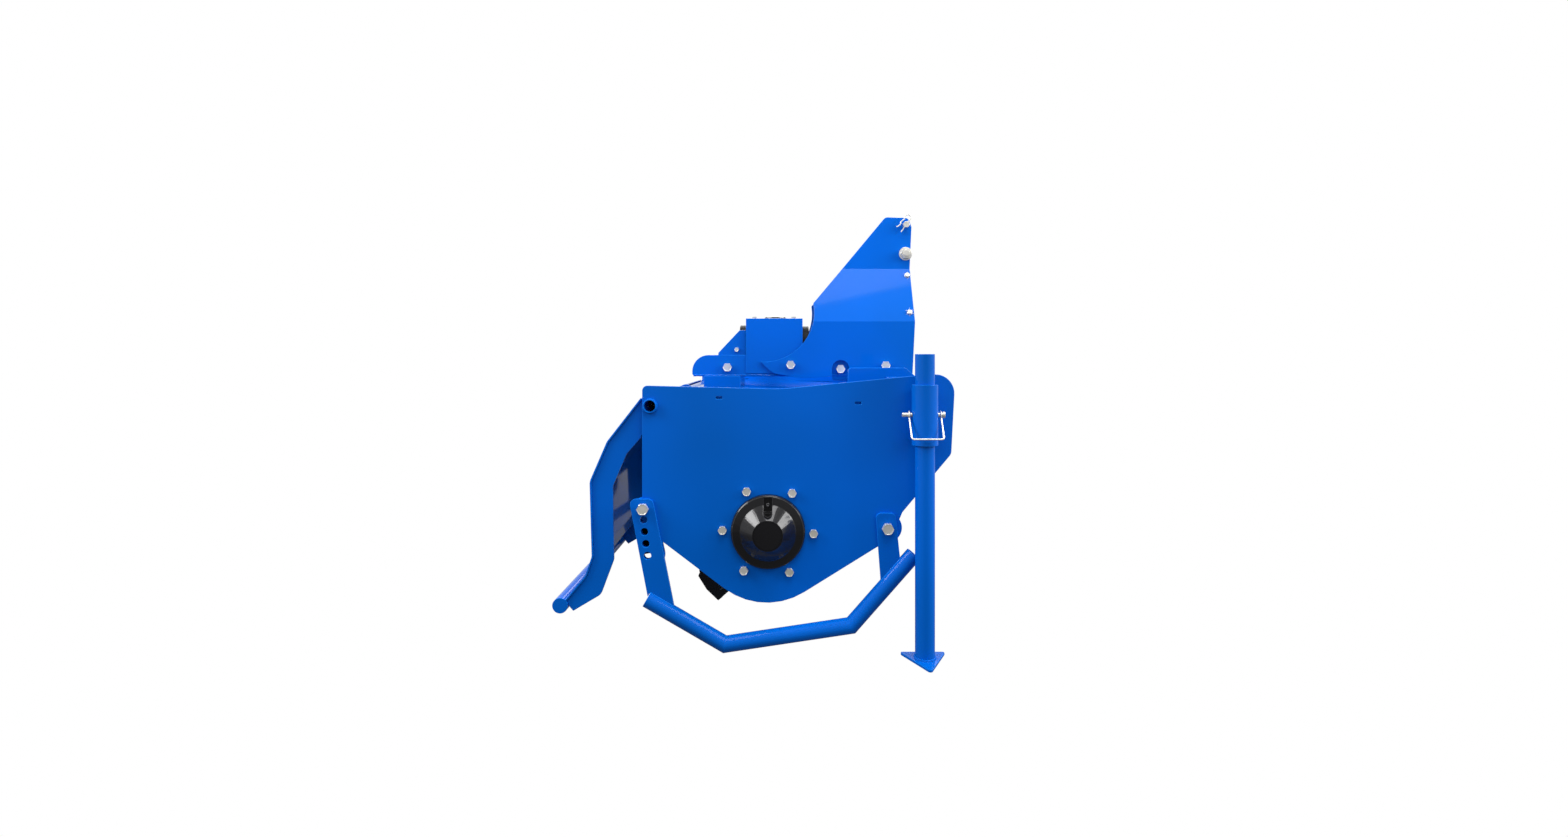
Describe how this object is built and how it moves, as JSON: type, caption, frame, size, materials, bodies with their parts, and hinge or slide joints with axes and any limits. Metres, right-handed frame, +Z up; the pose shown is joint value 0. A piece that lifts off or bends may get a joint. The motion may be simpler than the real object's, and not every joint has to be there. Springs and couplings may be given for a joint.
{
  "type": "rotary tiller",
  "caption": "Rotary tiller for a category 1 three-point hitch, with a side gear drive, a bladed rotor under a hood, a swinging tailgate, skids and parking stands.",
  "frame": {"origin": "on the ground, under the middle of the machine's outline", "axes": "+X towards the tractor, +Y to the machine's left, +Z up"},
  "size_m": [0.9844, 1.4718, 1.1411],
  "materials": {
    "blue_paint": "glossy blue powder coat",
    "black_paint": "gloss black paint",
    "zinc_plate": "bright zinc plating",
    "machined_steel": "machined, lightly oiled",
    "seal_rubber": "matte moulded rubber",
    "bronze": "turned bronze"
  },
  "bodies": {
    "frame": {"right_side_plate": "blue_paint", "left_side_plate": "blue_paint", "deck": "blue_paint", "deck_beam": "blue_paint", "front_beam": "blue_paint", "hinge_tube": "blue_paint", "right_saddle": "blue_paint", "left_saddle": "blue_paint", "right_mast_plate": "blue_paint", "left_mast_plate": "blue_paint", "pto_shield": "blue_paint", "right_hitch_bracket": "blue_paint", "left_hitch_bracket": "blue_paint", "gearbox_guard": "blue_paint", "rear_gussets": "blue_paint", "axle_tube": "blue_paint", "gear_case": "blue_paint", "gear_case_cover": "blue_paint", "right_skid": "blue_paint", "left_skid": "blue_paint", "stand_sleeves": "blue_paint", "parking_stands": "blue_paint", "gearbox_housing": "black_paint", "gearbox_cap": "black_paint", "gearbox_top_cover": "black_paint", "right_hub": "black_paint", "left_hub": "black_paint", "hub_cap": "black_paint", "mast_spacer": "zinc_plate", "top_link_pin": "zinc_plate", "hairpin_clip": "zinc_plate", "mast_bolts": "zinc_plate", "shield_bolts": "zinc_plate", "hitch_studs": "zinc_plate", "case_bolts": "zinc_plate", "hub_bolts": "zinc_plate", "skid_bolts": "zinc_plate", "lock_pins": "zinc_plate", "gearbox_bearings": "machined_steel", "case_bearings": "machined_steel", "idler_axle": "machined_steel", "hub_bearings": "machined_steel", "input_seal": "seal_rubber"},
    "rotor": {"rotor_tube": "black_paint", "tine_flanges": "black_paint", "tines": "black_paint", "tine_bolts": "zinc_plate", "rotor_journals": "machined_steel", "rotor_gear": "machined_steel"},
    "idler": {"idler_gear": "machined_steel", "idler_bushing": "bronze"},
    "cross_shaft": {"cross_shaft": "machined_steel", "crown_gear": "machined_steel", "drive_gear": "machined_steel"},
    "input": {"input_shaft": "machined_steel", "bevel_pinion": "machined_steel"},
    "tailgate": {"gate_sheet": "blue_paint", "gate_ribs": "blue_paint"},
    "right_bail": {"right_bail": "zinc_plate"},
    "left_bail": {"left_bail": "zinc_plate"}
  },
  "joints": [
    {"name": "rotor_spin", "type": "hinge", "parent": "frame", "child": "rotor", "pos_m": [0.01925, 0, 0.283], "axis": [0, 1, 0], "continuous": true},
    {"name": "idler_spin", "type": "hinge", "parent": "frame", "child": "idler", "pos_m": [0.01925, 0.666, 0.511], "axis": [0, 1, 0], "continuous": true},
    {"name": "cross_shaft_spin", "type": "hinge", "parent": "frame", "child": "cross_shaft", "pos_m": [0.01925, 0, 0.73], "axis": [0, 1, 0], "continuous": true},
    {"name": "input_spin", "type": "hinge", "parent": "frame", "child": "input", "pos_m": [0.21925, 0, 0.73], "axis": [1, 0, 0], "continuous": true},
    {"name": "tailgate_hinge", "type": "hinge", "parent": "frame", "child": "tailgate", "pos_m": [-0.25775, 0, 0.578], "axis": [0, 1, 0], "range_deg": [0, 65]},
    {"name": "right_bail_swing", "type": "hinge", "parent": "frame", "child": "right_bail", "pos_m": [0.37925, -0.6701, 0.561], "axis": [-1, 0, 0], "range_deg": [0, 105]},
    {"name": "left_bail_swing", "type": "hinge", "parent": "frame", "child": "left_bail", "pos_m": [0.37925, 0.6701, 0.561], "axis": [1, 0, 0], "range_deg": [0, 105]}
  ],
  "couplings": [
    {"joint": "idler_spin", "follows": "rotor_spin", "ratio": -0.52},
    {"joint": "cross_shaft_spin", "follows": "rotor_spin", "ratio": 1.1304},
    {"joint": "input_spin", "follows": "rotor_spin", "ratio": 2.5839}
  ]
}
